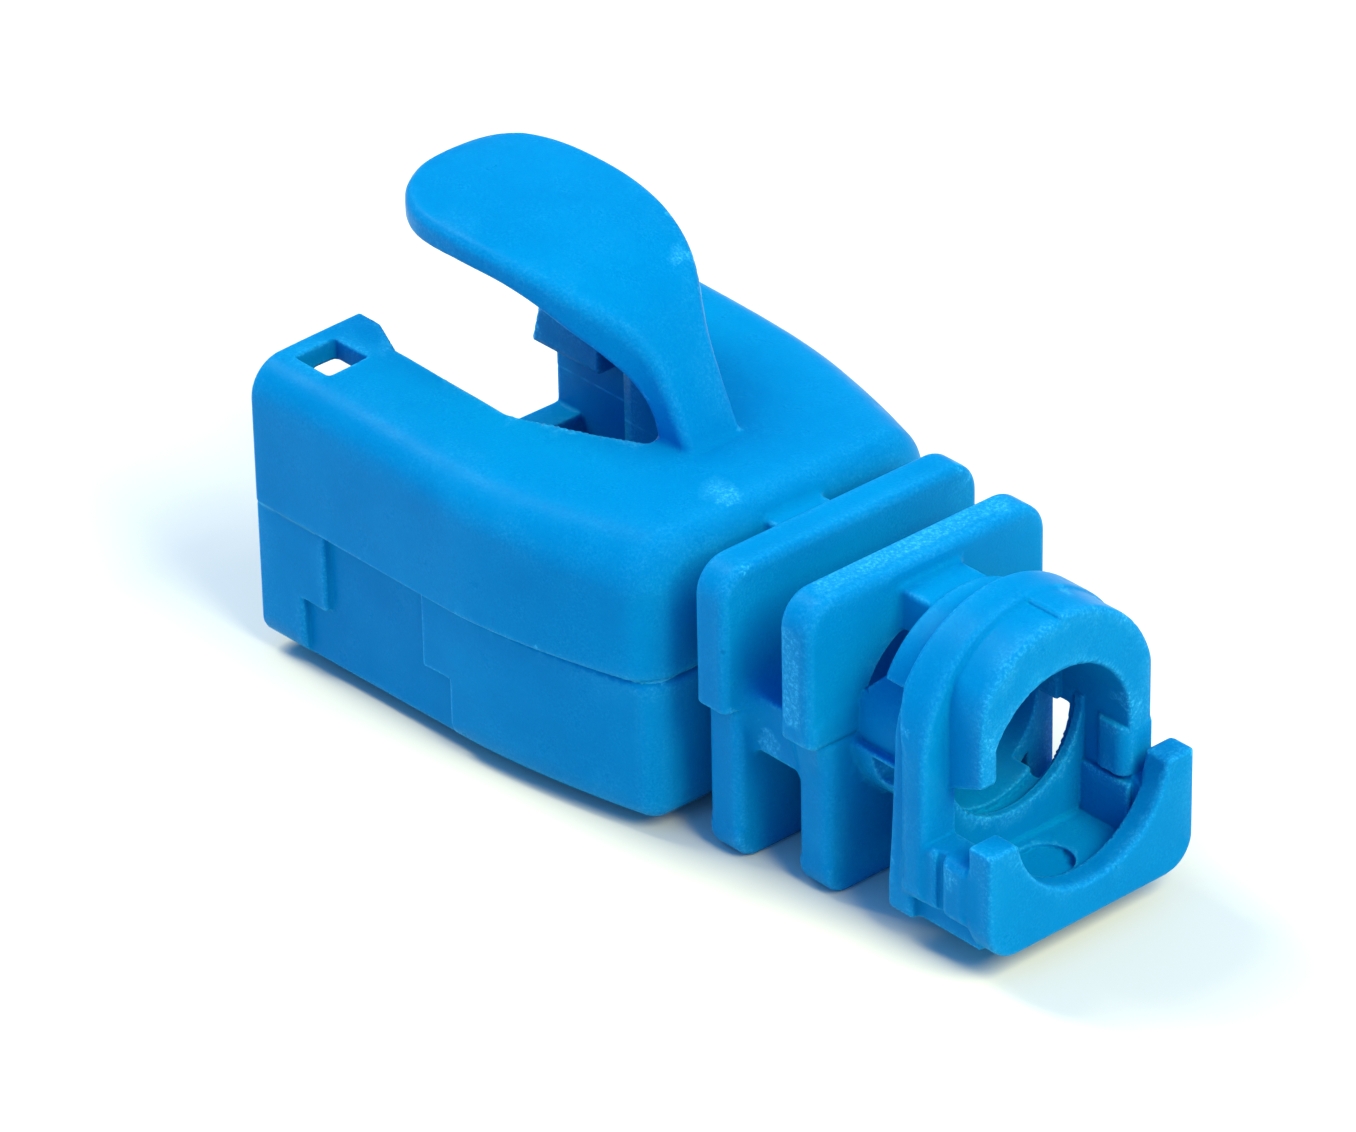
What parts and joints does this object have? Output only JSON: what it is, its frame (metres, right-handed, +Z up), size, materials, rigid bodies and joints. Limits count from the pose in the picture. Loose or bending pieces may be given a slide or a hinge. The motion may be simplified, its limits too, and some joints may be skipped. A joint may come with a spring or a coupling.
{
  "type": "strain relief boot",
  "caption": "One-piece moulded plug boot: open sleeve with a slotted roof and a curved latch guard, ribbed flexible neck and a cable ring with a notched end plate.",
  "frame": {"origin": "centre of the part's outline on the plane of the ribs' lower ends", "axes": "+X along the cable from the plug mouth to the tail, +Y across the width, +Z up from the underside to the latch guard"},
  "size_m": [0.0334, 0.0162, 0.0175],
  "materials": {
    "boot_plastic": "satin moulded soft plastic, sky blue, dyed through"
  },
  "bodies": {
    "root": {"boot": "boot_plastic"}
  },
  "joints": []
}
